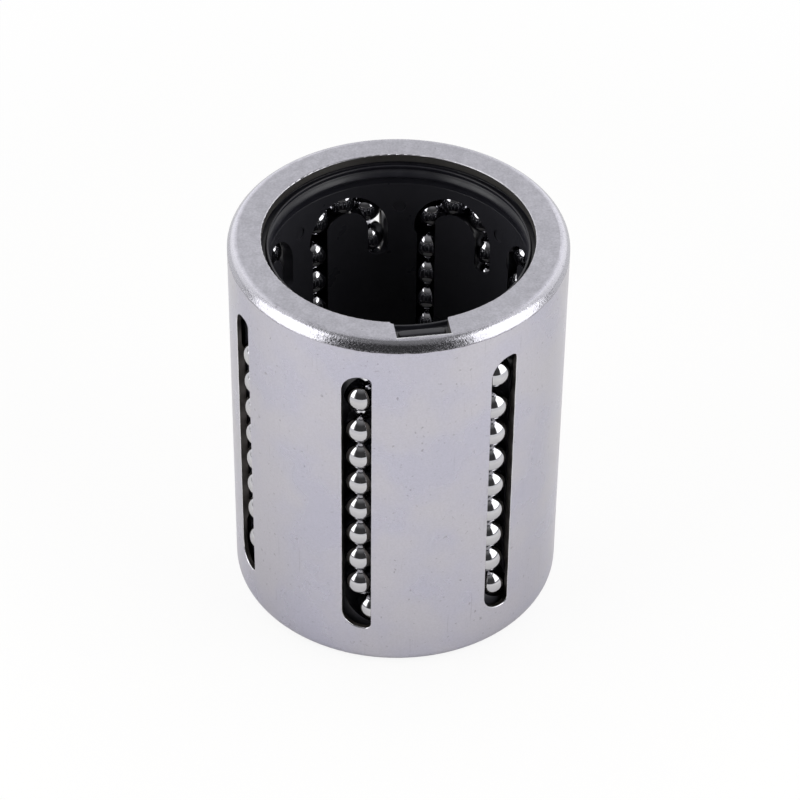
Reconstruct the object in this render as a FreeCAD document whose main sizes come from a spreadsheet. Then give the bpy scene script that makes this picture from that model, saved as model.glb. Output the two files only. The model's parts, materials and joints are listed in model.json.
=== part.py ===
# Linear ball bearing for a round shaft: drawn steel sleeve, moulded cage, seven ball circuits, two seals.
# Millimetres. The origin is the middle of the bottom face, +Z runs along the shaft.
# The first window faces -Y.
import FreeCAD, Part
import os
from math import hypot, pi, radians
import Sketcher
from FreeCAD import Placement, Rotation, Vector

doc = FreeCAD.newDocument("linear_ball_bearing")
tiny = 1e-6

# Driving dimensions
driving_sizes = {
    "shaft_diameter": 30.0,
    "overall_length": 50.0,
    "sheet_thickness": 1.0,
    "bend_radius": 0.2,
    "flange_clearance": 1.0,
    "circuit_count": 7,
    "ball_diameter": 3.969,
    "ball_play": 0.031,
    "ball_gap": 0.05,
    "turn_lift": 0.03,
    "load_share": 0.40,
    "relief_clearance": 0.09,
    "relief_ramp": 1.2,
    "relief_run_out": 0.4,
    "window_clearance": 0.289,
    "window_overrun": 0.9,
    "window_tight_corner": 0.8,
    "window_end_flat": 0.35,
    "rim_radius": 0.12,
    "notch_width": 6.2,
    "notch_land": 1.35,
    "notch_corner": 0.5,
    "notch_angle": 22.65,
    "tab_gap": 0.2,
    "tab_margin": 0.07,
    "tab_height": 0.4,
    "tab_corner": 0.4,
    "tab_round": 0.15,
    "cage_bore_clearance": 0.25,
    "cage_outer_gap": 0.2,
    "cage_end_wall": 0.5,
    "cage_chamfer": 0.35,
    "channel_clearance": 0.12,
    "turn_slot_width": 2.3,
    "turn_slot_overrun": 3.0,
    "dimple_diameter": 1.6,
    "dimple_depth": 0.15,
    "dimple_drop": 3.8,
    "seal_thickness": 2.4,
    "seal_outer_gap": 0.1,
    "seal_chamfer": 0.3,
    "lip_depth": 0.8,
    "lip_land": 0.4,
    "lip_reach": 0.6,
    "ridge_width": 0.3,
    "ridge_drop": 0.05,
    "groove_width": 0.2,
    "groove_depth": 0.4,
    "groove_slope": 0.1,
}

# Each ball train has come to rest at its own point of its loop: how far its load row stands above the middle
rest_shifts = (1.46, 0.57, 0.3, -0.65, 0.16, -0.2, -1.12)
for number, shift in enumerate(rest_shifts, start=1):
    driving_sizes[f"rest_shift_{number}"] = shift

# Dimensions that follow from them
derived_sizes = {
    "middle": "sizes.overall_length / 2",
    "shaft_radius": "sizes.shaft_diameter / 2",
    "ball_radius": "sizes.ball_diameter / 2",
    # The sleeve's wall stands one ball and its play off the shaft
    "raceway_radius": "shaft_radius + sizes.ball_diameter + sizes.ball_play",
    "outer_radius": "raceway_radius + sizes.sheet_thickness",
    "bend_outside": "sizes.bend_radius + sizes.sheet_thickness",
    "flange_bore": "shaft_radius + sizes.flange_clearance",
    "flange_under": "sizes.overall_length - sizes.sheet_thickness",
    # A turn is a half circle of three balls, 60 degrees apart
    "turn_radius": "sizes.ball_diameter + sizes.ball_gap",
    "turn_pitch": "pi * turn_radius / 3",
    "row_pitch": "sizes.ball_diameter + sizes.ball_gap",
    # The rows hold as many balls as fit between the turns
    "cage_end": "sizes.sheet_thickness + sizes.seal_thickness",
    "row_room": "middle - cage_end - sizes.cage_end_wall - turn_radius - ball_radius",
    "row_balls": "floor(2 * row_room / turn_pitch)",
    "half_straight": "row_balls * turn_pitch / 2",
    # Both turns of a circuit lie in one plane that just clears the shaft; x runs along that plane
    "load_radius": "shaft_radius + ball_radius",
    "turn_plane": "load_radius + sizes.turn_lift",
    "turn_load_x": "2 * turn_radius * sizes.load_share",
    "turn_x": "turn_load_x - turn_radius",
    "return_x": "turn_load_x - 2 * turn_radius",
    "lift_radius": "sqrt(turn_plane^2 + turn_load_x^2)",
    "return_radius": "sqrt(turn_plane^2 + return_x^2)",
    "load_x": "turn_load_x * load_radius / lift_radius",
    "load_y": "-turn_plane * load_radius / lift_radius",
    # The sleeve is relieved inside, where the balls climb from the load row into the turns
    "relief_radius": "lift_radius + ball_radius + sizes.relief_clearance",
    "relief_start": "half_straight - ball_radius",
    "channel_radius": "ball_radius + sizes.channel_clearance",
    "relief_end": "half_straight + turn_radius + channel_radius",
    "load_reach": "half_straight + channel_radius",
    # The turns are open to the bore through a slot that is narrower than a ball
    "turn_slot_inner": "turn_radius - sizes.turn_slot_width / 2",
    "turn_slot_outer": "turn_radius + sizes.turn_slot_width / 2",
    "turn_slot_depth": "turn_plane - sqrt(shaft_radius^2 - (return_x - sizes.turn_slot_width)^2)",
    # A window lets the return balls stand into the wall but is narrower than a ball
    "ball_half_chord": "sqrt(ball_radius^2 - (raceway_radius - return_radius)^2)",
    "window_half_width": "ball_half_chord + sizes.window_clearance",
    "window_half_length": "half_straight + turn_radius + sizes.window_overrun",
    # Each end of a window is a tight corner, a short flat and one large round corner
    "window_round": "2 * window_half_width - sizes.window_tight_corner - sizes.window_end_flat",
    "notch_reach": "outer_radius - sizes.notch_land",
    # The lips of the notch are arcs that touch its sides and the bore of the flange
    "lip_offset": "sizes.notch_width / 2 + sizes.notch_corner",
    "lip_centre": "sqrt((flange_bore + sizes.notch_corner)^2 - lip_offset^2)",
    "lip_end_x": "lip_offset * flange_bore / (flange_bore + sizes.notch_corner)",
    "lip_end_y": "lip_centre * flange_bore / (flange_bore + sizes.notch_corner)",
    "cage_bore": "shaft_radius + sizes.cage_bore_clearance",
    "cage_outside": "raceway_radius - sizes.cage_outer_gap",
    "seal_outside": "raceway_radius - sizes.seal_outer_gap",
    "lip_root": "shaft_radius + sizes.lip_reach",
    "ridge_inner": "lip_root + sizes.groove_slope",
    "ridge_outer": "ridge_inner + sizes.ridge_width",
    "groove_inner": "ridge_outer + sizes.groove_slope",
    "groove_outer": "groove_inner + sizes.groove_width",
    "pad_inner": "groove_outer + sizes.groove_slope",
    # The corners of the seal's tab stand just inside the flat of its pad
    "tab_half_width": "sizes.notch_width / 2 - sizes.tab_gap",
    "tab_corner_radius": "seal_outside - sizes.seal_chamfer - sizes.tab_margin",
    "tab_reach": "sqrt(tab_corner_radius^2 - tab_half_width^2)",
    "lip_under": "(sizes.lip_depth + sizes.lip_land + sizes.seal_thickness) / 2",
}

derived_angles = {
    "circuit_step": "360 deg / sizes.circuit_count",
    # Turns the first circuit so that its return row stands behind the window that faces -Y
    "window_to_turn": "atan2(-return_x; turn_plane)",
    # The middle of the web between two circuits, seen from the plane of the turns
    "web_angle": "(atan2(turn_load_x; turn_plane) + circuit_step - window_to_turn) / 2",
}

sheet = doc.addObject("Spreadsheet::Sheet", "sizes")
for row, (alias, size) in enumerate(driving_sizes.items(), start=1):
    sheet.set(f"A{row}", alias.replace("_", " "))
    sheet.set(f"B{row}", str(size))
    sheet.setAlias(f"B{row}", alias)
doc.recompute()

layout = doc.addObject("App::VarSet", "layout")
for kind, formulas in (("App::PropertyFloat", derived_sizes), ("App::PropertyAngle", derived_angles)):
    for name, formula in formulas.items():
        layout.addProperty(kind, name, "layout")
        layout.setExpression(name, formula)
doc.recompute()


def value(formula):
    return float(layout.evalExpression(formula))


def origin_feature(body, role):
    return next(feature for feature in body.Origin.OriginFeatures if feature.Role == role)


def new_sketch(body, name, plane):
    sketch = body.newObject("Sketcher::SketchObject", name)
    sketch.AttachmentSupport = (origin_feature(body, plane), [""])
    sketch.MapMode = "FlatFace"
    return sketch


def pin_point(sketch, geometry, point, x_formula, y_formula):
    # Ties a point of the sketch to its two formulas, each measured from the sketch's origin
    for kind, formula, axis in (("DistanceX", x_formula, -2), ("DistanceY", y_formula, -1)):
        distance = value(formula)
        if formula == "0":
            sketch.addConstraint(Sketcher.Constraint("PointOnObject", geometry, point, axis))
            continue
        constraint = sketch.addConstraint(Sketcher.Constraint(kind, -1, 1, geometry, point, distance))
        sketch.setExpression(f"Constraints[{constraint}]", formula)


def draw_polygon(sketch, corners):
    points = [Vector(value(x), value(y), 0) for x, y in corners]
    count = len(points)
    for index, point in enumerate(points):
        sketch.addGeometry(Part.LineSegment(point, points[(index + 1) % count]))
    for index in range(count):
        sketch.addConstraint(Sketcher.Constraint("Coincident", index, 2, (index + 1) % count, 1))
    for index, (x_formula, y_formula) in enumerate(corners):
        pin_point(sketch, index, 1, x_formula, y_formula)


def turned_body(label, corners):
    # A ring turned about Z from the (radius, height) corners of its section
    body = doc.addObject("PartDesign::Body", label)
    sketch = new_sketch(body, label + "_section", "XZ_Plane")
    draw_polygon(sketch, corners)
    turning = body.newObject("PartDesign::Revolution", label + "_turning")
    turning.Profile = sketch
    turning.ReferenceAxis = (sketch, ["V_Axis"])
    turning.Angle = 360
    doc.recompute()
    return body


def round_edges(body, name, formula, wanted):
    # Rounds the edges of the body's last feature that the test picks out
    base = body.Tip
    names = [f"Edge{number}" for number, edge in enumerate(base.Shape.Edges, start=1) if wanted(edge)]
    rounding = body.newObject("PartDesign::Fillet", name)
    rounding.Base = (base, names)
    rounding.setExpression("Radius", formula)
    doc.recompute()


def polar_pattern(body, name, originals):
    pattern = body.newObject("PartDesign::PolarPattern", name)
    pattern.Originals = originals
    pattern.Axis = (origin_feature(body, "Z_Axis"), [""])
    pattern.Angle = 360
    pattern.setExpression("Occurrences", "sizes.circuit_count")
    body.Tip = pattern
    doc.recompute()


def make_sleeve():
    # Section of the drawn sheet: wall, two inward flanges, and the relief ground inside near both ends
    def relief(side):
        step = f"layout.middle {side} layout.relief"
        return [
            ("layout.raceway_radius", f"{step}_start"),
            ("layout.relief_radius", f"{step}_start {side} sizes.relief_ramp"),
            ("layout.relief_radius", f"{step}_end"),
            ("layout.raceway_radius", f"{step}_end {side} sizes.relief_run_out"),
        ]

    body = turned_body("outer_sleeve", [
        ("layout.flange_bore", "0"),
        ("layout.outer_radius", "0"),
        ("layout.outer_radius", "sizes.overall_length"),
        ("layout.flange_bore", "sizes.overall_length"),
        ("layout.flange_bore", "layout.flange_under"),
        ("layout.raceway_radius", "layout.flange_under"),
        *reversed(relief("+")),
        *relief("-"),
        ("layout.raceway_radius", "sizes.sheet_thickness"),
        ("layout.flange_bore", "sizes.sheet_thickness"),
    ])

    # The flanges are rolled over, so the sheet is bent round at its four corner circles
    def circle_at(formula, heights):
        radius = value(formula)
        levels = [value(height) for height in heights]

        def test(edge):
            box = edge.BoundBox
            level_circle = box.ZLength < tiny and abs(box.XMax - radius) < tiny
            return level_circle and any(abs(box.ZMin - level) < tiny for level in levels)

        return test

    round_edges(body, "outer_bends", "layout.bend_outside",
                circle_at("layout.outer_radius", ("0", "sizes.overall_length")))
    round_edges(body, "inner_bends", "sizes.bend_radius",
                circle_at("layout.raceway_radius", ("sizes.sheet_thickness", "layout.flange_under")))

    # The cut edges of the flanges and the outer rims of the windows are broken by tumbling
    round_edges(body, "flange_rims", "sizes.rim_radius",
                circle_at("layout.flange_bore", ("0", "sizes.overall_length")))
    cut_windows(body)
    round_window_rims(body)
    cut_notch(body)
    return body


def cut_windows(body):
    # One window cut outwards through the front wall, then repeated for every circuit.
    # The corners on the side away from the load row are rounder, as the balls sweep in from the other side.
    sketch = new_sketch(body, "window_outline", "XZ_Plane")
    half_width = value("layout.window_half_width")
    half_length = value("layout.window_half_length")
    middle = value("layout.middle")
    tight_corner = value("sizes.window_tight_corner")
    round_corner = value("layout.window_round")
    arcs = []
    for across, along, radius, start in ((1, -1, tight_corner, 270), (1, 1, tight_corner, 0),
                                         (-1, 1, round_corner, 90), (-1, -1, round_corner, 180)):
        centre = Vector(across * (half_width - radius), middle + along * (half_length - radius), 0)
        circle = Part.Circle(centre, Vector(0, 0, 1), radius)
        arcs.append(Part.ArcOfCircle(circle, radians(start), radians(start + 90)))
    for index, arc in enumerate(arcs):
        following = arcs[(index + 1) % len(arcs)]
        sketch.addGeometry(arc)
        sketch.addGeometry(Part.LineSegment(arc.EndPoint, following.StartPoint))
    # Arcs have the even numbers and the sides the odd ones: right, top, left, bottom
    right, top, left, bottom = 1, 3, 5, 7
    for index in range(8):
        sketch.addConstraint(Sketcher.Constraint("Tangent", index, 2, (index + 1) % 8, 1))
    for side in (right, left):
        sketch.addConstraint(Sketcher.Constraint("Vertical", side))
    for side in (top, bottom):
        sketch.addConstraint(Sketcher.Constraint("Horizontal", side))
    for arc, formula in ((0, "sizes.window_tight_corner"), (2, "sizes.window_tight_corner"),
                         (4, "layout.window_round"), (6, "layout.window_round")):
        constraint = sketch.addConstraint(Sketcher.Constraint("Radius", arc, value(formula)))
        sketch.setExpression(f"Constraints[{constraint}]", formula)
    for kind, side, formula in (("DistanceX", right, "layout.window_half_width"),
                                ("DistanceX", left, "-layout.window_half_width"),
                                ("DistanceY", top, "layout.middle + layout.window_half_length"),
                                ("DistanceY", bottom, "layout.middle - layout.window_half_length")):
        constraint = sketch.addConstraint(Sketcher.Constraint(kind, -1, 1, side, 1, value(formula)))
        sketch.setExpression(f"Constraints[{constraint}]", formula)
    window = body.newObject("PartDesign::Pocket", "window")
    window.Profile = sketch
    window.Type = "Length"
    window.Reversed = True
    window.setExpression("Length", "2 * layout.outer_radius")
    doc.recompute()
    polar_pattern(body, "windows", [window])


def round_window_rims(body):
    outside = value("layout.outer_radius")
    half_length = value("layout.window_half_length")
    middle = value("layout.middle")

    def window_rim(edge):
        ends = (edge.firstVertex().Point, edge.lastVertex().Point)
        on_outside = all(abs(hypot(end.x, end.y) - outside) < tiny for end in ends)
        return on_outside and all(abs(end.z - middle) < half_length + tiny for end in ends)

    round_edges(body, "window_rims", "sizes.rim_radius", window_rim)


def cut_notch(body):
    # The notch in the top flange, open to the bore; its two lips run round into the bore
    sketch = new_sketch(body, "notch_outline", "XY_Plane")
    sketch.AttachmentOffset = Placement(Vector(), Rotation(Vector(0, 0, 1), value("sizes.notch_angle")))
    sketch.setExpression("AttachmentOffset.Rotation.Angle", "sizes.notch_angle * 1 deg")
    sketch.setExpression("AttachmentOffset.Base.z", "sizes.overall_length")
    half_width, end, mouth = "sizes.notch_width / 2", "-layout.notch_reach", "-layout.shaft_radius / 2"
    lip_x, lip_y = "layout.lip_offset", "-layout.lip_centre"
    corners = [
        (f"-{half_width}", end),
        (half_width, end),
        (half_width, lip_y),
        ("layout.lip_end_x", "-layout.lip_end_y"),
        ("layout.lip_end_x", mouth),
        ("-layout.lip_end_x", mouth),
        ("-layout.lip_end_x", "-layout.lip_end_y"),
        (f"-{half_width}", lip_y),
    ]
    points = [Vector(value(x), value(y), 0) for x, y in corners]
    right_lip, left_lip = 2, 6
    for index, point in enumerate(points):
        following = points[(index + 1) % len(points)]
        if index in (right_lip, left_lip):
            across = 1 if index == right_lip else -1
            centre = Vector(across * value(lip_x), value(lip_y), 0)
            inward = (Vector() - centre).normalize()
            middle = centre + (inward + Vector(-across, 0, 0)).normalize() * value("sizes.notch_corner")
            sketch.addGeometry(Part.Arc(point, middle, following))
        else:
            sketch.addGeometry(Part.LineSegment(point, following))
    # Arcs run anticlockwise, so a lip drawn the other way round has its two ends changed over
    for index in range(len(points)):
        following = (index + 1) % len(points)
        last = 1 if index == right_lip else 2
        first = 2 if following == right_lip else 1
        sketch.addConstraint(Sketcher.Constraint("Coincident", index, last, following, first))
    for index, (x_formula, y_formula) in enumerate(corners):
        pin_point(sketch, index, 2 if index == right_lip else 1, x_formula, y_formula)
    for lip in (right_lip, left_lip):
        constraint = sketch.addConstraint(Sketcher.Constraint("Radius", lip, value("sizes.notch_corner")))
        sketch.setExpression(f"Constraints[{constraint}]", "sizes.notch_corner")
    notch = body.newObject("PartDesign::Pocket", "notch")
    notch.Profile = sketch
    notch.Type = "Length"
    notch.setExpression("Length", "sizes.sheet_thickness")
    doc.recompute()


def add_tab(body):
    # The tab that stands in the notch and keeps the seal from turning
    sketch = new_sketch(body, "tab_outline", "XY_Plane")
    sketch.AttachmentOffset = Placement(Vector(), Rotation(Vector(0, 0, 1), value("sizes.notch_angle")))
    sketch.setExpression("AttachmentOffset.Rotation.Angle", "sizes.notch_angle * 1 deg")
    sketch.setExpression("AttachmentOffset.Base.z", "layout.flange_under")
    outer, inner = "-layout.tab_reach", "-(layout.pad_inner + sizes.tab_gap)"
    draw_polygon(sketch, [
        ("-layout.tab_half_width", outer),
        ("layout.tab_half_width", outer),
        ("layout.tab_half_width", inner),
        ("-layout.tab_half_width", inner),
    ])
    tab = body.newObject("PartDesign::Pad", "tab")
    tab.Profile = sketch
    tab.setExpression("Length", "sizes.tab_height")
    doc.recompute()
    base_level = value("layout.flange_under")
    top_level = value("layout.flange_under + sizes.tab_height")

    def spans(edge, low, high):
        return abs(edge.BoundBox.ZMin - low) < tiny and abs(edge.BoundBox.ZMax - high) < tiny

    round_edges(body, "tab_corners", "sizes.tab_corner", lambda edge: spans(edge, base_level, top_level))
    round_edges(body, "tab_top", "sizes.tab_round", lambda edge: spans(edge, top_level, top_level))


def make_seal(label, at_top):
    # A rubber ring: flat pad against the flange, groove, ridge, and a lip that wipes the shaft
    def height(depth):
        return f"layout.flange_under - ({depth})" if at_top else f"sizes.sheet_thickness + ({depth})"

    section = [
        ("layout.seal_outside", "sizes.seal_thickness"),
        ("layout.seal_outside", "sizes.seal_chamfer"),
        ("layout.seal_outside - sizes.seal_chamfer", "0"),
        ("layout.pad_inner", "0"),
        ("layout.groove_outer", "sizes.groove_depth"),
        ("layout.groove_inner", "sizes.groove_depth"),
        ("layout.ridge_outer", "sizes.ridge_drop"),
        ("layout.ridge_inner", "sizes.ridge_drop"),
        ("layout.lip_root", "sizes.groove_depth"),
        ("layout.shaft_radius", "sizes.lip_depth"),
        ("layout.shaft_radius", "sizes.lip_depth + sizes.lip_land"),
        ("layout.lip_root", "layout.lip_under"),
        ("layout.lip_root", "sizes.seal_thickness"),
    ]
    body = turned_body(label, [(radius, height(depth)) for radius, depth in section])
    if at_top:
        add_tab(body)
    return body


def draw_circle(sketch, x_formula, y_formula, radius_formula):
    centre = Vector(value(x_formula), value(y_formula), 0)
    circle = sketch.addGeometry(Part.Circle(centre, Vector(0, 0, 1), value(radius_formula)))
    pin_point(sketch, circle, 3, x_formula, y_formula)
    constraint = sketch.addConstraint(Sketcher.Constraint("Radius", circle, value(radius_formula)))
    sketch.setExpression(f"Constraints[{constraint}]", radius_formula)


def draw_racetrack(sketch):
    # The line that the balls' centres follow: two straights joined by two half circles
    radius = value("layout.turn_radius")
    turn_x = value("layout.turn_x")
    bottom, top = (value(f"layout.middle {side} layout.half_straight") for side in "-+")
    upright = Vector(0, 0, 1)
    lift_side, return_side = turn_x + radius, turn_x - radius
    top_circle = Part.Circle(Vector(turn_x, top, 0), upright, radius)
    bottom_circle = Part.Circle(Vector(turn_x, bottom, 0), upright, radius)
    sketch.addGeometry(Part.LineSegment(Vector(lift_side, bottom, 0), Vector(lift_side, top, 0)))
    sketch.addGeometry(Part.ArcOfCircle(top_circle, 0, pi))
    sketch.addGeometry(Part.LineSegment(Vector(return_side, top, 0), Vector(return_side, bottom, 0)))
    sketch.addGeometry(Part.ArcOfCircle(bottom_circle, pi, 2 * pi))
    for index in range(4):
        sketch.addConstraint(Sketcher.Constraint("Tangent", index, 2, (index + 1) % 4, 1))
    for arc, side in ((1, "+"), (3, "-")):
        pin_point(sketch, arc, 3, "layout.turn_x", f"layout.middle {side} layout.half_straight")
        constraint = sketch.addConstraint(Sketcher.Constraint("Radius", arc, radius))
        sketch.setExpression(f"Constraints[{constraint}]", "layout.turn_radius")


def draw_turn_slot(sketch, at_top):
    # Half a ring round the turn: its load end stops at once, its return end runs on along the return row
    side = "+" if at_top else "-"
    level = f"layout.middle {side} layout.half_straight"
    return_level = f"layout.middle {side} (layout.half_straight - sizes.turn_slot_overrun)"
    turn_x, turn_radius = value("layout.turn_x"), value("layout.turn_radius")
    inner_radius, outer_radius = value("layout.turn_slot_inner"), value("layout.turn_slot_outer")
    cap_radius = value("sizes.turn_slot_width") / 2
    # The ring lies on the far side of the level, its caps on the near side
    ring, cap = ((0, pi), (pi, 2 * pi)) if at_top else ((pi, 2 * pi), (0, pi))

    def add_arc(x, y, radius, ends):
        circle = Part.Circle(Vector(x, y, 0), Vector(0, 0, 1), radius)
        return sketch.addGeometry(Part.ArcOfCircle(circle, *ends))

    def add_side(x):
        return sketch.addGeometry(Part.LineSegment(Vector(x, value(level), 0), Vector(x, value(return_level), 0)))

    outer_ring = add_arc(turn_x, value(level), outer_radius, ring)
    inner_ring = add_arc(turn_x, value(level), inner_radius, ring)
    outer_side = add_side(turn_x - outer_radius)
    inner_side = add_side(turn_x - inner_radius)
    return_cap = add_arc(turn_x - turn_radius, value(return_level), cap_radius, cap)
    load_cap = add_arc(turn_x + turn_radius, value(level), cap_radius, cap)
    # Arcs run anticlockwise, so the ends that meet change places between the top and the bottom
    load_end, return_end = (1, 2) if at_top else (2, 1)
    for first, first_end, second, second_end in (
        (outer_ring, return_end, outer_side, 1),
        (outer_side, 2, return_cap, load_end),
        (return_cap, return_end, inner_side, 2),
        (inner_side, 1, inner_ring, return_end),
        (inner_ring, load_end, load_cap, load_end),
        (load_cap, return_end, outer_ring, load_end),
    ):
        sketch.addConstraint(Sketcher.Constraint("Tangent", first, first_end, second, second_end))
    for side_line in (outer_side, inner_side):
        sketch.addConstraint(Sketcher.Constraint("Vertical", side_line))
    for ring_arc, formula in ((outer_ring, "layout.turn_slot_outer"), (inner_ring, "layout.turn_slot_inner")):
        pin_point(sketch, ring_arc, 3, "layout.turn_x", level)
        constraint = sketch.addConstraint(Sketcher.Constraint("Radius", ring_arc, value(formula)))
        sketch.setExpression(f"Constraints[{constraint}]", formula)
    for cap_arc, formula in ((return_cap, return_level), (load_cap, level)):
        constraint = sketch.addConstraint(Sketcher.Constraint("DistanceY", -1, 1, cap_arc, 3, value(formula)))
        sketch.setExpression(f"Constraints[{constraint}]", formula)


def make_cage():
    # A tube between the two seals, seen from the plane of the first circuit's turns, which faces -Y
    top = "sizes.overall_length - layout.cage_end"
    body = turned_body("ball_cage", [
        ("layout.cage_outside", "layout.cage_end"),
        ("layout.cage_outside", top),
        ("layout.cage_bore + sizes.cage_chamfer", top),
        ("layout.cage_bore", f"{top} - sizes.cage_chamfer"),
        ("layout.cage_bore", "layout.cage_end + sizes.cage_chamfer"),
        ("layout.cage_bore + sizes.cage_chamfer", "layout.cage_end"),
    ])

    # The racetrack channel lies in the plane of the turns: up the lift side, round, and down the return side
    path = new_sketch(body, "racetrack_path", "XZ_Plane")
    path.setExpression("AttachmentOffset.Base.z", "layout.turn_plane")
    draw_racetrack(path)
    section = new_sketch(body, "racetrack_section", "XY_Plane")
    section.setExpression("AttachmentOffset.Base.z", "layout.middle - layout.half_straight")
    draw_circle(section, "layout.turn_load_x", "-layout.turn_plane", "layout.channel_radius")
    racetrack = body.newObject("PartDesign::SubtractivePipe", "racetrack")
    racetrack.Profile = section
    racetrack.Spine = (path, ["Edge1", "Edge2", "Edge3", "Edge4"])
    doc.recompute()
    polar_pattern(body, "racetracks", [racetrack])

    # The load row stands nearer the shaft than the racetrack does, in a straight channel of its own
    load_channel = body.newObject("PartDesign::SubtractiveCylinder", "load_channel")
    load_channel.setExpression("Radius", "layout.channel_radius")
    load_channel.setExpression("Height", "2 * layout.load_reach")
    place(load_channel, "layout.load_x", "layout.load_y", "layout.middle - layout.load_reach")
    doc.recompute()
    polar_pattern(body, "load_channels", [load_channel])

    # Slots round both turns, open to the bore
    for end, at_top in (("top", True), ("bottom", False)):
        outline = new_sketch(body, f"{end}_turn_outline", "XZ_Plane")
        outline.setExpression("AttachmentOffset.Base.z", "layout.turn_plane")
        draw_turn_slot(outline, at_top)
        slot = body.newObject("PartDesign::Pocket", f"{end}_turn_slot")
        slot.Profile = outline
        slot.Type = "Length"
        slot.setExpression("Length", "layout.turn_slot_depth")
        doc.recompute()
        polar_pattern(body, f"{end}_turn_slots", [slot])

    # A shallow round moulding mark on the bore, in the middle of the web beside the circuit
    dimple = body.newObject("PartDesign::SubtractiveCylinder", "dimple")
    dimple.setExpression("Radius", "sizes.dimple_diameter / 2")
    dimple.setExpression("Height", "layout.cage_bore + sizes.dimple_depth")
    dimple.Placement = Placement(Vector(), Rotation(value("layout.web_angle"), 0, 90))
    dimple.setExpression("Placement.Base.z", f"{top} - sizes.dimple_drop")
    doc.recompute()
    polar_pattern(body, "dimples", [dimple])

    body.Placement = Placement(Vector(), Rotation(Vector(0, 0, 1), value("layout.window_to_turn")))
    body.setExpression("Placement.Rotation.Angle", "layout.window_to_turn")
    return body


def place(piece, x_formula, y_formula, z_formula):
    for axis, formula in (("x", x_formula), ("y", y_formula), ("z", z_formula)):
        piece.setExpression(f"Placement.Base.{axis}", formula)


def make_ball(name, x_formula, y_formula, z_formula):
    ball = doc.addObject("Part::Sphere", name)
    ball.setExpression("Radius", "layout.ball_radius")
    place(ball, x_formula, y_formula, z_formula)
    return ball


def make_balls():
    # The two rows of a circuit in the plane of its turns, seen from -Y; every circuit repeats them
    row_count = round(value("layout.row_balls"))
    load_row, return_row = [], []
    for index in range(row_count):
        step = index - (row_count - 1) / 2
        height = f"layout.middle + {step} * layout.row_pitch"
        number = index + 1
        load_row.append(make_ball(f"load_ball_{number}", "layout.load_x", "layout.load_y", height))
        return_row.append(make_ball(f"return_ball_{number}", "layout.return_x", "-layout.turn_plane", height))

    pieces = []
    for circuit in range(round(value("sizes.circuit_count"))):
        number = circuit + 1
        shift = f"sizes.rest_shift_{circuit % len(rest_shifts) + 1}"
        groups = {"load_balls": load_row, "return_balls": return_row}
        for end, side in (("top", "+"), ("bottom", "-")):
            groups[f"{end}_turn_balls"] = make_turn_balls(f"{end}_turn_{number}_ball", side, shift)
        angle = f"layout.window_to_turn + {circuit} * layout.circuit_step"
        for group, balls in groups.items():
            piece = doc.addObject("Part::Compound", f"{group}_{number}")
            piece.Links = balls
            piece.Placement = Placement(Vector(), Rotation(Vector(0, 0, 1), value(angle)))
            piece.setExpression("Placement.Rotation.Angle", angle)
            # One row stands as far up as the other stands down
            if group == "load_balls":
                piece.setExpression("Placement.Base.z", shift)
            elif group == "return_balls":
                piece.setExpression("Placement.Base.z", f"-{shift}")
            pieces.append(piece)
    doc.recompute()
    return pieces


def make_turn_balls(name, side, shift):
    # The three balls of a turn, swung about its centre as far as the rows have shifted
    balls = []
    swing = f"{shift} / layout.turn_radius * 1 rad"
    for index, angle in enumerate((30, 90, 150), start=1):
        place_angle = f"{swing} {side} {angle} deg"
        across = f"layout.turn_x + layout.turn_radius * cos({place_angle})"
        height = f"layout.middle {side} layout.half_straight + layout.turn_radius * sin({place_angle})"
        balls.append(make_ball(f"{name}_{index}", across, "-layout.turn_plane", height))
    return balls


pieces = [
    make_sleeve(),
    make_cage(),
    make_seal("top_seal", True),
    make_seal("bottom_seal", False),
    *make_balls(),
]
doc.recompute()

for item in doc.Objects:
    if "Invalid" in item.State or "Error" in item.State:
        raise RuntimeError(f"{item.Label} failed: {item.State}")
for piece in pieces:
    if piece.Shape.isNull() or not piece.Shape.isValid():
        raise RuntimeError(f"{piece.Label} has no valid shape")

os.makedirs("parts", exist_ok=True)
for piece in pieces:
    piece.Shape.exportStep(f"parts/{piece.Label}.step")
    box = piece.Shape.BoundBox
    print(f"{piece.Label}: {len(piece.Shape.Solids)} solids, {piece.Shape.Volume:.2f} mm3, "
          f"z {box.ZMin:.3f} to {box.ZMax:.3f}")
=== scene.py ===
import json
import math

import bpy
import numpy as np
from mathutils import Matrix, Vector


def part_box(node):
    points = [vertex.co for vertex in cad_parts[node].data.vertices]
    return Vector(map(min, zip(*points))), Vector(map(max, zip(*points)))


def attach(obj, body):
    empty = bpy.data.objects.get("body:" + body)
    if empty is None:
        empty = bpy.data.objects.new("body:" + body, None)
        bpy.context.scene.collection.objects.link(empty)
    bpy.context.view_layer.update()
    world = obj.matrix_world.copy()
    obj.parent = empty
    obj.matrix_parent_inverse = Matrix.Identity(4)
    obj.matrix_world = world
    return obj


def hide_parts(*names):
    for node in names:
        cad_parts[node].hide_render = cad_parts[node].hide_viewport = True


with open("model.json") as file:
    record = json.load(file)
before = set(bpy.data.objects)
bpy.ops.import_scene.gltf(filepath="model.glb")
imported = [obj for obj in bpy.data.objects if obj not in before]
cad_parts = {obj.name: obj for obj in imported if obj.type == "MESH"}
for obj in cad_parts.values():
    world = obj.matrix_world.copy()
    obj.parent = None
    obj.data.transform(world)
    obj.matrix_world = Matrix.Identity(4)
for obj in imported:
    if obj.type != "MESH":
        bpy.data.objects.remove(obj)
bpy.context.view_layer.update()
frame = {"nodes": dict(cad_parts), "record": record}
nodes = frame["nodes"]
mm = 0.001  # the frame is in metres

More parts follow.
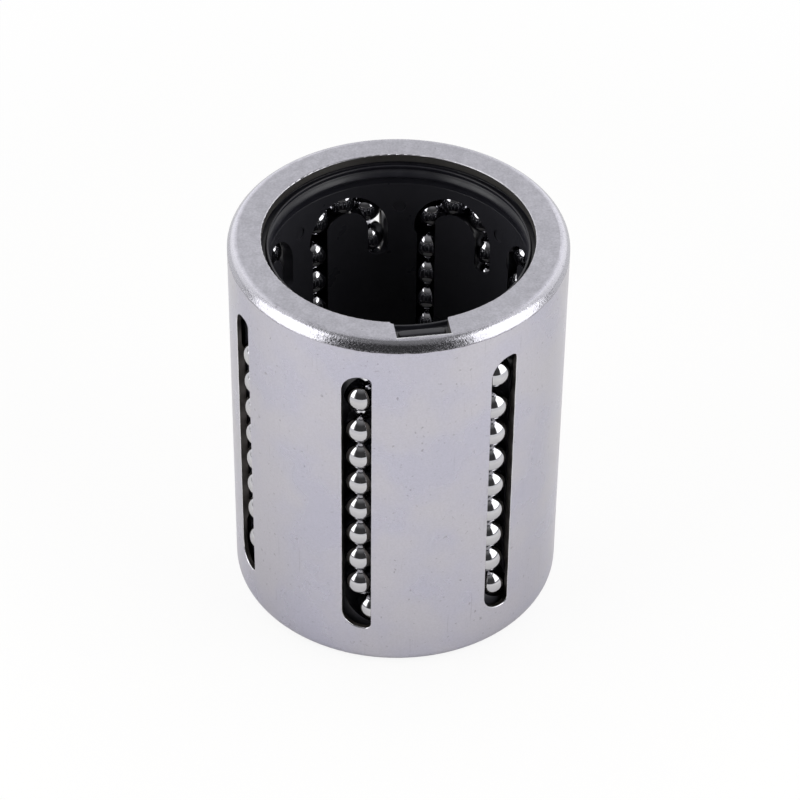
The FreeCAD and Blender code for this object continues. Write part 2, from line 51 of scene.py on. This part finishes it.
# Key measures, read from the frame's own boxes and its record
sleeveLow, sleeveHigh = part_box("outer_sleeve")
bottomSealLow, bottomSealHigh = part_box("bottom_seal")
middleHeight = (sleeveLow.z + sleeveHigh.z) / 2
halfLength = sleeveHigh.z - middleHeight
outerRadius = (sleeveHigh.x - sleeveLow.x) / 2
sealRadius = (bottomSealHigh.x - bottomSealLow.x) / 2
sealThickness = bottomSealHigh.z - bottomSealLow.z
sheetThickness = bottomSealLow.z - sleeveLow.z
boreMount = next(mount for mount in frame["record"]["mounts"] if mount["name"] == "shaft_bore")
shaftRadius = boreMount["dims"]["r_mm"] * mm
# Two more that no box shows: the opening of both flanges, and the inside of the rolled edges
flangeBore = 16.0 * mm
bendInside = 0.2 * mm
bendRadius = bendInside + sheetThickness


def linearColour(hexText):
    # sRGB hex to linear light
    srgb = np.array([int(hexText[place:place + 2], 16) for place in (1, 3, 5)]) / 255
    linear = np.where(srgb <= 0.04045, srgb / 12.92, ((srgb + 0.055) / 1.055) ** 2.4)
    return (*linear.tolist(), 1.0)


def addNode(tree, kind, inputs=(), into=None, **settings):
    # one node with its settings; inputs fill its live sockets in order, or by name from a dictionary;
    # a node given as an input means its first live output, and its own first live output goes to into
    node = tree.nodes.new("ShaderNode" + kind)
    for name, setting in settings.items():
        setattr(node, name, setting)
    if isinstance(inputs, dict):
        filled = [(node.inputs[name], source) for name, source in inputs.items()]
    else:
        filled = zip([socket for socket in node.inputs if socket.enabled], inputs)
    for socket, source in filled:
        if isinstance(source, bpy.types.Node):
            source = next(output for output in source.outputs if output.enabled)
        if isinstance(source, bpy.types.NodeSocket):
            tree.links.new(source, socket)
        else:
            socket.default_value = source
    if into:
        tree.links.new(next(output for output in node.outputs if output.enabled), into)
    return node


def newMaterial(name):
    material = bpy.data.materials.new(name)
    material.use_nodes = True
    tree = material.node_tree
    return material, tree, tree.nodes["Principled BSDF"]


# Camera: the photograph's own view, found from the two end circles of the sleeve
cameraView = {
    "azimuth": 13.45,
    "elevation": 40.34,
    "roll": 0.612,
    "distance": 380.3 * mm,
    "focalPixels": 3131.0,
    "imageSide": 800,
    "aimPixel": (396.47, 398.68),  # where the middle of the part stands in the picture
    "sensor": 36.0,
}


def makeCamera(view):
    azimuth, elevation, roll = (math.radians(view[key]) for key in ("azimuth", "elevation", "roll"))
    level = math.cos(elevation)
    back = Vector((math.sin(azimuth) * level, -math.cos(azimuth) * level, math.sin(elevation)))
    right = Vector((math.cos(azimuth), math.sin(azimuth), 0))
    up = back.cross(right)
    rolledRight = right * math.cos(roll) + up * math.sin(roll)
    rolledUp = up * math.cos(roll) - right * math.sin(roll)
    data = bpy.data.cameras.new("photoCamera")
    data.sensor_width = view["sensor"]
    data.lens = view["focalPixels"] / view["imageSide"] * view["sensor"]
    pixelMiddle = (view["imageSide"] - 1) / 2
    data.shift_x = (pixelMiddle - view["aimPixel"][0]) / view["imageSide"]
    data.shift_y = (view["aimPixel"][1] - pixelMiddle) / view["imageSide"]
    camera = bpy.data.objects.new("photoCamera", data)
    bpy.context.scene.collection.objects.link(camera)
    turn = Matrix((rolledRight, rolledUp, back)).transposed().to_4x4()
    camera.matrix_world = Matrix.Translation(Vector((0, 0, middleHeight)) + back * view["distance"]) @ turn
    bpy.context.scene.camera = camera


makeCamera(cameraView)
bpy.context.scene.view_settings.view_transform = "Standard"
print("camera placed")

# Floor, surroundings and lamps: a white table, a dark room in front and a large soft panel on each side
studio = {
    "floorColour": "#F4F3F0",
    "floorFront": 0.8,
    "floorBack": 1.1,
    "floorHalfWidth": 0.9,
    "shadeReach": (0.07, 0.16),  # the object's shade on the table fades out between these distances
    "shadeSeen": 0.12,  # how much of the shade shows on the overexposed table
    "frontLevel": 0.06,
    "topLevel": 0.25,
    "sideLevel": 0.85,
    "backLevel": 0.75,
    "sideLean": 0.35,  # the bright sides reach further round at the back
    "sideSpan": (0.28, 0.62),
    "lowLevel": 0.35,  # the sides are darker just above the table
    "lowSpan": (0.0, 0.2),  # how far a direction points up
    "backSpan": (0.0, 0.8),  # how far it points to the back
    "topSpan": (0.5, 1.0),  # how far it points up
    "panelAway": 0.165,
    "panelFront": 0.0815,
    "panelBase": 0.035,
    "panelSize": (0.17, 0.25),
    "panelRadiance": 2.05,
}
frontAngle = math.radians(cameraView["azimuth"])
backWay = Vector((-math.sin(frontAngle), math.cos(frontAngle), 0))
rightWay = Vector((math.cos(frontAngle), math.sin(frontAngle), 0))


def makeFloor(settings):
    corners = [(-settings["floorHalfWidth"], -settings["floorFront"]),
               (settings["floorHalfWidth"], -settings["floorFront"]),
               (settings["floorHalfWidth"], settings["floorBack"]),
               (-settings["floorHalfWidth"], settings["floorBack"])]
    points = [rightWay * across + backWay * along for across, along in corners]
    mesh = bpy.data.meshes.new("floor")
    mesh.from_pydata(points, [], [(0, 1, 2, 3)])
    floor = bpy.data.objects.new("floor", mesh)
    floor.location.z = sleeveLow.z
    bpy.context.scene.collection.objects.link(floor)
    material, tree, paint = newMaterial("matt white paper")
    paint.inputs["Base Color"].default_value = linearColour(settings["floorColour"])
    paint.inputs["Roughness"].default_value = 1.0
    paint.inputs["Specular IOR Level"].default_value = 0.0
    # overexposed to the eye and in the metal's reflections, apart from the object's own shade close by
    place = addNode(tree, "TexCoord").outputs["Object"]
    away = addNode(tree, "VectorMath", (place,), operation="LENGTH")
    clear = addNode(tree, "MapRange", (away, *settings["shadeReach"]), interpolation_type="SMOOTHSTEP")
    seenClear = addNode(tree, "MapRange", {"Value": clear, "To Min": 1 - settings["shadeSeen"]})
    path = addNode(tree, "LightPath").outputs
    toEye = addNode(tree, "Math", (path["Is Camera Ray"], seenClear), operation="MULTIPLY")
    toMetal = addNode(tree, "Math", (path["Is Glossy Ray"], clear), operation="MULTIPLY")
    share = addNode(tree, "Math", (toEye, toMetal), operation="MAXIMUM")
    glow = addNode(tree, "Emission", {"Strength": 1.0})
    addNode(tree, "MixShader", (share, paint, glow), tree.nodes["Material Output"].inputs["Surface"])
    mesh.materials.append(material)


def makeWorld(settings):
    # the room by direction: dark in front, half dark above, bright sides, a pale back; the eye sees white
    world = bpy.data.worlds.new("photoRoom")
    bpy.context.scene.world = world
    world.use_nodes = True
    tree = world.node_tree
    way = addNode(tree, "TexCoord").outputs["Generated"]
    up = addNode(tree, "SeparateXYZ", (way,)).outputs["Z"]
    along = addNode(tree, "VectorMath", (way, tuple(backWay)), operation="DOT_PRODUCT")
    sideways = addNode(tree, "VectorMath", (way, tuple(rightWay)), operation="DOT_PRODUCT")
    across = addNode(tree, "Math", (sideways,), operation="ABSOLUTE")
    offFront = addNode(tree, "Math", (along, settings["sideLean"], across), operation="MULTIPLY_ADD")
    front = settings["frontLevel"]
    spans = {  # what it follows, where it starts and ends, and its level at both
        "sides": (offFront, *settings["sideSpan"], 0.0, settings["sideLevel"]),
        "lowBand": (up, *settings["lowSpan"], settings["lowLevel"], 1.0),
        "back": (along, *settings["backSpan"], front, front + settings["backLevel"]),
        "top": (up, *settings["topSpan"], 0.0, settings["topLevel"]),
    }
    level = {name: addNode(tree, "MapRange", span, interpolation_type="SMOOTHSTEP")
             for name, span in spans.items()}
    backAndTop = addNode(tree, "Math", (level["back"], level["top"]), operation="ADD")
    room = addNode(tree, "Math", (level["sides"], level["lowBand"], backAndTop), operation="MULTIPLY_ADD")
    seen = addNode(tree, "LightPath").outputs["Is Camera Ray"]
    sky = tree.nodes["Background"]
    sky.inputs["Color"].default_value = (1, 1, 1, 1)
    addNode(tree, "Mix", (seen, room, 1.0), sky.inputs["Strength"])


def makePanel(name, place, aim, size, radiance):
    data = bpy.data.lights.new(name, "AREA")
    data.shape = "RECTANGLE"
    data.size, data.size_y = size
    data.energy = radiance * math.pi * size[0] * size[1]
    lamp = bpy.data.objects.new(name, data)
    lamp.matrix_world = Matrix.Translation(place) @ (place - aim).to_track_quat("Z", "Y").to_matrix().to_4x4()
    bpy.context.scene.collection.objects.link(lamp)


def lightScene(settings):
    along, high = settings["panelSize"]
    raised = Vector((0, 0, settings["panelBase"] + high / 2))
    for name, side in (("leftPanel", -1), ("rightPanel", 1)):
        place = side * settings["panelAway"] * rightWay - settings["panelFront"] * backWay + raised
        makePanel(name, place, place - side * rightWay, (along, high), settings["panelRadiance"])


makeFloor(studio)
makeWorld(studio)
lightScene(studio)
print("floor, surroundings and two soft panels")

# Seals: the moulded rings with their edges rounded, as rubber leaves the mould
sealShape = {
    # section corners: radius beyond the shaft and depth below the flange, mm; the outside and the back
    # of the ring come from the frame
    "outerChamfer": 0.3,
    "padInner": 1.5,
    "groove": ((1.36, 0.6), (0.52, 0.6)),
    "ridge": ((0.42, 0.1), (0.18, 0.07)),
    "valley": ((0.18, 0.32), (0.5, 0.66), (0.5, 0.84)),
    "lip": ((0.27, 1.02), (0.1, 1.28), (0.0, 1.5), (0.0, 1.7)),
    "skirt": ((0.2, 1.85), (0.265, 2.3), (0.265, 2.9)),  # its end lies in the chamfer of the cage
    "innerBack": 0.6,
    "rounding": 0.09,
    "roundShare": 0.45,  # most of a short side that one rounding takes up
    "roundSteps": 6,
    "turnSteps": 320,
}
tabShape = {
    "notchAngle": 22.65,  # degrees, from the first window
    "halfWidth": 2.7,
    "inner": 16.6,
    "outer": 17.65,
    "height": 0.4,
    "root": 0.2,
    "corner": 0.45,
    "edgeRound": 0.2,
    "cornerSteps": 10,
    "edgeSteps": 6,
}


def roundedSection(corners, shape):
    # every corner becomes a small curve (1-t)^2 A + 2t(1-t) corner + t^2 B, with A and B on its two sides
    before, after = np.roll(corners, 1, axis=0) - corners, np.roll(corners, -1, axis=0) - corners
    beforeLength, afterLength = (np.linalg.norm(side, axis=1, keepdims=True) for side in (before, after))
    reach = np.minimum(shape["rounding"], shape["roundShare"] * np.minimum(beforeLength, afterLength))
    start, end = corners + before / beforeLength * reach, corners + after / afterLength * reach
    t = np.linspace(0, 1, shape["roundSteps"])[None, :, None]
    curve = (1 - t) ** 2 * start[:, None] + 2 * t * (1 - t) * corners[:, None] + t ** 2 * end[:, None]
    return curve.reshape(-1, 2)


def gridFaces(rows, columns, closedRows):
    # four-sided faces of a grid whose columns run round and whose rows may
    index = np.arange(rows * columns).reshape(rows, columns)
    lower = index if closedRows else index[:-1]
    upper = np.roll(index, -1, axis=0) if closedRows else index[1:]
    lowerNext, upperNext = np.roll(lower, -1, axis=1), np.roll(upper, -1, axis=1)
    return np.stack([lower, lowerNext, upperNext, upper], axis=-1).reshape(-1, 4)


def sealRing(shape, faceHeight, downward):
    # the rounded section carried round the shaft: x = r sin a, y = -r cos a, z = flange face + side * depth
    radius, thickness, shaft = sealRadius / mm, sealThickness / mm, shaftRadius / mm
    chamfer = shape["outerChamfer"]
    inner = [(shaft + away, depth) for stretch in ("groove", "ridge", "valley", "lip", "skirt")
             for away, depth in shape[stretch]]
    corners = np.array([(radius, thickness), (radius, chamfer), (radius - chamfer, 0.0),
                        (shaft + shape["padInner"], 0.0), *inner, (shaft + shape["innerBack"], thickness)])
    section = roundedSection(corners, shape) * mm
    angle = np.linspace(0, 2 * np.pi, shape["turnSteps"], endpoint=False)
    r, depth = section[:, :1], section[:, 1:]
    height = np.broadcast_to(faceHeight + downward * depth, (len(section), len(angle)))
    points = np.stack([r * np.sin(angle), -r * np.cos(angle), height], axis=-1)
    faces = gridFaces(len(section), len(angle), True)
    return points.reshape(-1, 3), faces if downward < 0 else faces[:, ::-1]


def sealTab(shape, faceHeight):
    # a rounded rectangle carried up its wall and over its edge: corner centre + (corner - inset) (cos, sin)
    quarter = np.linspace(0, np.pi / 2, shape["cornerSteps"])
    turns = (np.arange(4)[:, None] * np.pi / 2 + quarter).ravel()
    across = np.sign(np.cos(turns.reshape(4, -1).mean(axis=1, keepdims=True)))
    out = np.sign(np.sin(turns.reshape(4, -1).mean(axis=1, keepdims=True)))
    middle, halfDepth = (shape["inner"] + shape["outer"]) / 2, (shape["outer"] - shape["inner"]) / 2
    centreX = (across * (shape["halfWidth"] - shape["corner"]) * np.ones_like(quarter)).ravel()
    centreY = (middle + out * (halfDepth - shape["corner"]) * np.ones_like(quarter)).ravel()
    lean = np.linspace(0, np.pi / 2, shape["edgeSteps"])
    inset = np.concatenate([[0.0], shape["edgeRound"] * (1 - np.cos(lean))])[:, None]
    edgeRise = shape["height"] - shape["edgeRound"] * (1 - np.sin(lean))
    rise = np.concatenate([[-shape["root"]], edgeRise])[:, None]
    x = centreX + (shape["corner"] - inset) * np.cos(turns)
    y = centreY + (shape["corner"] - inset) * np.sin(turns)
    turn = math.radians(shape["notchAngle"])
    points = np.stack([x * math.cos(turn) + y * math.sin(turn), x * math.sin(turn) - y * math.cos(turn),
                       np.broadcast_to(faceHeight / mm + rise, x.shape)], axis=-1) * mm
    return points.reshape(-1, 3), len(inset), len(turns)


def addPiece(name, points, faces, replaced):
    mesh = bpy.data.meshes.new(name)
    mesh.from_pydata(points.tolist(), [], faces)
    mesh.polygons.foreach_set("use_smooth", np.ones(len(mesh.polygons), bool))
    piece = bpy.data.objects.new(name, mesh)
    bpy.context.scene.collection.objects.link(piece)
    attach(piece, "housing")
    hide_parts(replaced)
    return piece


def makeSeals(ringShape, padShape):
    flangeUnder = sleeveHigh.z - sheetThickness
    points, faces = sealRing(ringShape, flangeUnder, -1)
    tabPoints, rows, columns = sealTab(padShape, flangeUnder)
    first = len(points)
    # the tab's outline is mirrored into the frame, so its faces are turned over; one face closes each end
    tabFaces = (first + gridFaces(rows, columns, False)[:, ::-1]).tolist()
    last = first + (rows - 1) * columns
    ends = [list(range(first, first + columns)), list(range(last, last + columns))[::-1]]
    allPoints, allFaces = np.concatenate([points, tabPoints]), faces.tolist() + tabFaces + ends
    top = addPiece("topSealRing", allPoints, allFaces, "top_seal")
    points, faces = sealRing(ringShape, bottomSealLow.z, 1)
    bottom = addPiece("bottomSealRing", points, faces.tolist(), "bottom_seal")
    return top, bottom


sealPieces = makeSeals(sealShape, tabShape)
print("two seal rings with rounded edges")

# Materials; every pattern is worked in millimetres
sleeveFinish = {
    "wall": "#BAB9C8",
    "wallWarm": "#C0BEC7",
    "flange": "#B1B0B8",
    "bend": "#B2B1B8",
    "boreRim": "#B4B3B9",
    # the rims of the notch end and the windows: a lighter colour, a painted highlight along those edges
    "rim": "#D6D6DA",
    "flangeCut": "#96938F",
    "windowCut": "#4A4744",
    # the colour of the specks and scratches, also used for the painted dark reflection line along the
    # shoulder
    "stainAndPaintedLine": "#8A878F",
    "noiseSizes": {  # millimetres; the grain is finer in life and drawn as coarse as it needs to show
        "clouds": 9.0,
        "blotches": 1.1,
        "border": 1.6,
        "breaks": 2.5,
        "specks": 0.55,
        "dents": 1.2,
        "grain": 0.24,
        "pits": 0.17,
    },
    "noiseDetail": 3.0,
    "scratchSize": (0.25, 7.0),
    "scratchDetail": 2.0,
    "patterns": {  # the noise each one follows, between which levels, and its strength at both
        "clouds": ("clouds", 0.35, 0.65, 0, 1),
        "specks": ("specks", 0.66, 0.74, 0, 0.6),
        "scratches": ("scratches", 0.68, 0.76, 0, 0.25),
        "lineBreaks": ("breaks", 0.35, 0.6, 0.25, 0.9),
        "wallShade": ("grain", 0.3, 0.7, 0.96, 1.03),
        "flangeShade": ("grain", 0.3, 0.7, 0.9, 1.07),
        "blotchShade": ("blotches", 0.3, 0.7, 0.93, 1.06),
        "bendRough": ("pits", 0.36, 0.62, 0.1, 0.29),  # bright facets and the pits of the tumbling
        "cloudRough": ("clouds", 0.35, 0.65, -0.015, 0.025),
    },
    "borderNoise": (0.25, 0.75, -0.07, 0.07),  # the ground wall's upper edge is a little ragged
    "wallRoughness": 0.28,
    "flangeRoughness": 0.29,
    "boreRimRoughness": 0.3,
    "rimRoughness": 0.2,
    "cutRoughness": 0.42,
    "wallGrain": 0.0032,
    "flangeGrain": 0.010,
    "bendGrain": 0.024,
    "bendDents": 0.03,
    # where each finish starts and ends, millimetres below the end face or away from the edge it belongs to
    "flatDepth": (0.12, 0.01),
    "rimDepth": (0.14, 0.11),
    "boreRimWidth": (0.1, 0.2),
    "wallSkin": (0.03, 0.012),
    "rimRound": 0.13,
    "fade": 0.1,
    "shoulderBelow": 0.24,  # the ground wall ends this far under the bend, in a faint shoulder
    "shoulderFade": 0.06,
    "shoulderSlope": 0.4,  # how far the surface leans there
    "slopeEase": (0.1, 0.65),  # the lean eases off between these heights above the bend's start
    "lineStart": (-0.05, 0.03),
    "lineEnd": (0.08, 0.22),
    "notchStart": (18.62, 18.66),  # the edge at the notch's outer end, from the axis, worn smooth and painted lighter as a highlight
    "notchEnd": (18.74, 18.84),
    "notchSide": (3.1, 3.3),
    "notchLean": 0.35,  # how far the worn edge leans inwards
    "cutMargin": 0.01,
}


def makeSleeveSteel(finish):
    # Bearing steel strip, drawn, hardened, ground and tumbled: a satin grey wall with faint clouds and
    # specks, a grainy flange, the rolled edge between them polished bright but pitted, and dull cut edges
    material, tree, steel = newMaterial("tumbled bearing steel")
    raw = addNode(tree, "TexCoord").outputs["Object"]
    place = addNode(tree, "VectorMath", (raw, 1 / mm), operation="SCALE")
    level = addNode(tree, "VectorMath", (place, (1, 1, 0)), operation="MULTIPLY")
    radius = addNode(tree, "VectorMath", (level,), operation="LENGTH")
    upright = addNode(tree, "SeparateXYZ", (place,)).outputs["Z"]
    fromMiddle = addNode(tree, "Math", (upright, middleHeight / mm), operation="SUBTRACT")
    height = addNode(tree, "Math", (fromMiddle,), operation="ABSOLUTE")
    notchTurn = math.radians(tabShape["notchAngle"])
    notchOut = (math.sin(notchTurn), -math.cos(notchTurn), 0)
    notchSide = (math.cos(notchTurn), math.sin(notchTurn), 0)
    alongNotch = addNode(tree, "VectorMath", (place, notchOut), operation="DOT_PRODUCT")
    sideNotch = addNode(tree, "VectorMath", (place, notchSide), operation="DOT_PRODUCT")
    acrossNotch = addNode(tree, "Math", (sideNotch,), operation="ABSOLUTE")
    noise = {name: addNode(tree, "TexNoise", (place, 1 / size, finish["noiseDetail"]))
             for name, size in finish["noiseSizes"].items()}
    narrow, long = finish["scratchSize"]
    drawn = addNode(tree, "VectorMath", (place, (1 / narrow, 1 / narrow, 1 / long)), operation="MULTIPLY")
    noise["scratches"] = addNode(tree, "TexNoise", (drawn, 1.0, finish["scratchDetail"]))
    ragged = addNode(tree, "MapRange", (noise["border"], *finish["borderNoise"]))
    raggedHeight = addNode(tree, "Math", (fromMiddle, ragged), operation="ADD")

    # soft spans: what each follows, where it starts and ends, and its level at both
    top, outer, bore = halfLength / mm, outerRadius / mm, flangeBore / mm
    bendStart, bendInner = top - bendRadius / mm, outer - bendRadius / mm
    shoulder, fade = bendStart - finish["shoulderBelow"], finish["fade"]
    spans = {
        "onFlat": (height, *(top - depth for depth in finish["flatDepth"]), 0, 1),
        "overShoulder": (raggedHeight, shoulder, shoulder + finish["shoulderFade"], 0, 1),
        "beyondFlat": (radius, bendInner - fade, bendInner, 0, 1),
        "overBend": (height, shoulder - fade, shoulder, 0, 1),
        "underBend": (height, shoulder - 2 * fade, shoulder - fade, 1, 0),
        "offWall": (radius, *(outer - depth for depth in finish["wallSkin"]), 1, 0),
        "nearBore": (radius, *(bore + width for width in finish["boreRimWidth"]), 1, 0),
        "nearTop": (height, *(top - depth for depth in finish["rimDepth"]), 0, 1),
        "inNotchEnd": (alongNotch, *finish["notchStart"], 0, 1),
        "outNotchEnd": (alongNotch, *finish["notchEnd"], 1, 0),
        "withinNotch": (acrossNotch, *finish["notchSide"], 1, 0),
        "lineStart": (raggedHeight, *(shoulder + rise for rise in finish["lineStart"]), 0, 1),
        "lineEnd": (raggedHeight, *(shoulder + rise for rise in finish["lineEnd"]), 1, 0),
        "slope": (height, *(bendStart + rise for rise in finish["slopeEase"]), finish["shoulderSlope"], 0),
    }
    for name, (source, *levels) in finish["patterns"].items():
        spans[name] = (noise[source], *levels)
    span = {name: addNode(tree, "MapRange", ends, interpolation_type="SMOOTHSTEP")
            for name, ends in spans.items()}

    # where a point lies: on the flange's flat, on the rolled edge, on the wall, or on a cut or inner face
    onFlat = span["onFlat"]
    onTopEdge = addNode(tree, "Math", (span["overShoulder"], span["beyondFlat"]), operation="MULTIPLY")
    onRolled = addNode(tree, "Math", (span["overBend"], span["beyondFlat"]), operation="MULTIPLY")
    offFlat = addNode(tree, "Math", (1.0, onFlat), operation="SUBTRACT")
    onBend = addNode(tree, "Math", (onTopEdge, offFlat), operation="MULTIPLY")
    onWall = addNode(tree, "Math", (radius, outer - finish["rimRound"]), operation="GREATER_THAN")
    onOutside = addNode(tree, "Math", (onWall, onRolled), operation="MAXIMUM")
    onShown = addNode(tree, "Math", (onOutside, onFlat), operation="MAXIMUM")
    onCut = addNode(tree, "Math", (1.0, onShown), operation="SUBTRACT")
    flangeUnder = top - sheetThickness / mm - finish["cutMargin"]
    inFlange = addNode(tree, "Math", (height, flangeUnder), operation="GREATER_THAN")
    onFlangeCut = addNode(tree, "Math", (onCut, inFlange), operation="MULTIPLY")
    onBoreRim = addNode(tree, "Math", (span["nearBore"], span["nearTop"]), operation="MULTIPLY")
    notchBand = addNode(tree, "Math", (span["inNotchEnd"], span["outNotchEnd"]), operation="MULTIPLY")
    notchPart = addNode(tree, "Math", (notchBand, span["withinNotch"]), operation="MULTIPLY")
    onNotchRim = addNode(tree, "Math", (notchPart, span["nearTop"]), operation="MULTIPLY")
    underSkin = addNode(tree, "Math", (onWall, span["offWall"]), operation="MULTIPLY")
    # the window rims, painted lighter further down as a highlight along the window edges
    onWindowRim = addNode(tree, "Math", (underSkin, span["underBend"]), operation="MULTIPLY")
    onRim = addNode(tree, "Math", (onNotchRim, onWindowRim), operation="MAXIMUM")

    # colour: clouds, a grainy flange, sparse dark specks, faint scratches and a painted dark reflection line
    # along the shoulder
    # the line along the shoulder is a painted dark reflection, mixed in with the real specks and scratches
    lineBand = addNode(tree, "Math", (span["lineStart"], span["lineEnd"]), operation="MULTIPLY")
    lineOnWall = addNode(tree, "Math", (lineBand, onWall), operation="MULTIPLY")
    paintedDarkLine = addNode(tree, "Math", (lineOnWall, span["lineBreaks"]), operation="MULTIPLY")
    marks = addNode(tree, "Math", (span["specks"], span["scratches"]), operation="MAXIMUM")
    stainsAndPaintedLine = addNode(tree, "Math", (marks, paintedDarkLine), operation="MAXIMUM")
    wallColours = linearColour(finish["wall"]), linearColour(finish["wallWarm"])
    colour = addNode(tree, "Mix", (span["clouds"], *wallColours), data_type="RGBA")
    # the rim colour is a painted highlight along the notch end and the window edges
    for mask, name in ((onFlat, "flange"), (onBend, "bend"), (stainsAndPaintedLine, "stainAndPaintedLine"), (onCut, "windowCut"),
                       (onFlangeCut, "flangeCut"), (onBoreRim, "boreRim"), (onRim, "rim")):
        colour = addNode(tree, "Mix", (mask, colour, linearColour(finish[name])), data_type="RGBA")
    flangeShade = addNode(tree, "Math", (span["flangeShade"], span["blotchShade"]), operation="MULTIPLY")
    shade = addNode(tree, "Mix", (onFlat, span["wallShade"], flangeShade))
    addNode(tree, "VectorMath", (colour, shade), steel.inputs["Base Color"], operation="SCALE")

    rough = finish["wallRoughness"]
    for mask, roughness in ((onFlat, finish["flangeRoughness"]), (onBend, span["bendRough"]),
                            (onCut, finish["cutRoughness"]), (onBoreRim, finish["boreRimRoughness"]),
                            (onRim, finish["rimRoughness"])):
        rough = addNode(tree, "Mix", (mask, rough, roughness))
    addNode(tree, "Math", (rough, span["cloudRough"]), steel.inputs["Roughness"], operation="ADD")
    steel.inputs["Metallic"].default_value = 1.0

    # the wall was ground after rolling, so the polished top edge starts at a slope, which eases into the bend
    edgeSlope = addNode(tree, "Math", (span["slope"], onTopEdge), operation="MULTIPLY")
    lift = addNode(tree, "CombineXYZ", {"Z": edgeSlope})
    normal = addNode(tree, "NewGeometry").outputs["Normal"]
    leaning = addNode(tree, "VectorMath", (normal, lift), operation="ADD")
    inward = tuple(-finish["notchLean"] * part for part in notchOut)
    rimLean = addNode(tree, "VectorMath", (inward, onNotchRim), operation="SCALE")
    allLean = addNode(tree, "VectorMath", (leaning, rimLean), operation="ADD")
    outward = addNode(tree, "VectorMath", (allLean,), operation="NORMALIZE")
    flatGrain = addNode(tree, "Mix", (onFlat, finish["wallGrain"], finish["flangeGrain"]))
    grainDepth = addNode(tree, "Mix", (onBend, flatGrain, finish["bendGrain"]))
    grain = addNode(tree, "Math", (noise["grain"], grainDepth), operation="MULTIPLY")
    dentDepth = addNode(tree, "Math", (onBend, finish["bendDents"]), operation="MULTIPLY")
    bumps = addNode(tree, "Math", (noise["dents"], dentDepth, grain), operation="MULTIPLY_ADD")
    addNode(tree, "Bump", {"Height": bumps, "Distance": mm, "Normal": outward}, steel.inputs["Normal"])
    return material


ballFinish = {
    "colour": "#C6C6CA",
    "film": "#B4B3B8",
    "filmSize": 1.6,
    "filmDetail": 3.0,
    "filmSpan": (0.3, 0.7),
    "roughness": (0.025, 0.07),
}


def makeBallSteel(finish):
    # Chrome steel balls, hardened and lapped: a clean mirror under a breath of oil
    material, tree, steel = newMaterial("lapped ball steel")
    raw = addNode(tree, "TexCoord").outputs["Object"]
    film = addNode(tree, "TexNoise", (raw, 1 / (finish["filmSize"] * mm), finish["filmDetail"]))
    filmColours = linearColour(finish["colour"]), linearColour(finish["film"])
    addNode(tree, "Mix", (film, *filmColours), steel.inputs["Base Color"], data_type="RGBA")
    addNode(tree, "MapRange", (film, *finish["filmSpan"], *finish["roughness"]), steel.inputs["Roughness"])
    steel.inputs["Metallic"].default_value = 1.0
    return material


cageFinish = {
    "colour": "#2B2B30",
    "cloud": "#333338",
    "roughness": (0.26, 0.4),
    "cloudSize": 3.0,
    "cloudDetail": 3.0,
    "cloudSpan": (0.3, 0.7),
    "grainSize": 0.35,
    "grainDepth": 0.03,
    "grainStrength": 0.1,
    "refraction": 1.48,
    "shine": 0.4,
}
rubberFinish = {
    "colour": "#1B1B21",
    "cloud": "#24242B",
    "roughness": (0.3, 0.45),
    "cloudSize": 2.0,
    "cloudDetail": 3.0,
    "cloudSpan": (0.3, 0.7),
    "grainSize": 0.25,
    "grainDepth": 0.03,
    "grainStrength": 0.1,
    "refraction": 1.52,
    "shine": 0.4,
}


def makeBlackMoulding(name, finish):
    material, tree, black = newMaterial(name)
    raw = addNode(tree, "TexCoord").outputs["Object"]
    cloud = addNode(tree, "TexNoise", (raw, 1 / (finish["cloudSize"] * mm), finish["cloudDetail"]))
    grain = addNode(tree, "TexNoise", (raw, 1 / (finish["grainSize"] * mm)))
    blacks = linearColour(finish["colour"]), linearColour(finish["cloud"])
    addNode(tree, "Mix", (cloud, *blacks), black.inputs["Base Color"], data_type="RGBA")
    addNode(tree, "MapRange", (cloud, *finish["cloudSpan"], *finish["roughness"]), black.inputs["Roughness"])
    depth, strength = finish["grainDepth"] * mm, finish["grainStrength"]
    addNode(tree, "Bump", {"Height": grain, "Strength": strength, "Distance": depth}, black.inputs["Normal"])
    black.inputs["IOR"].default_value = finish["refraction"]
    black.inputs["Specular IOR Level"].default_value = finish["shine"]
    return material


def makeCagePlastic(finish):
    # Black acetal, injection moulded: a deep black, smooth skin with a faint sink and flow pattern
    return makeBlackMoulding("black moulded acetal", finish)


def makeSealRubber(finish):
    # Nitrile rubber, moulded: black with a soft shine on its rounded edges
    return makeBlackMoulding("moulded nitrile rubber", finish)


finishes = {"outer_sleeve": makeSleeveSteel(sleeveFinish), "ball_cage": makeCagePlastic(cageFinish)}
sealRubber = makeSealRubber(rubberFinish)
ballSteel = makeBallSteel(ballFinish)
for name, piece in nodes.items():
    piece.data.materials.clear()
    piece.data.materials.append(finishes.get(name, sealRubber if "seal" in name else ballSteel))
for piece in sealPieces:
    piece.data.materials.append(sealRubber)
print("materials on", len(nodes), "nodes and", len(sealPieces), "new pieces")
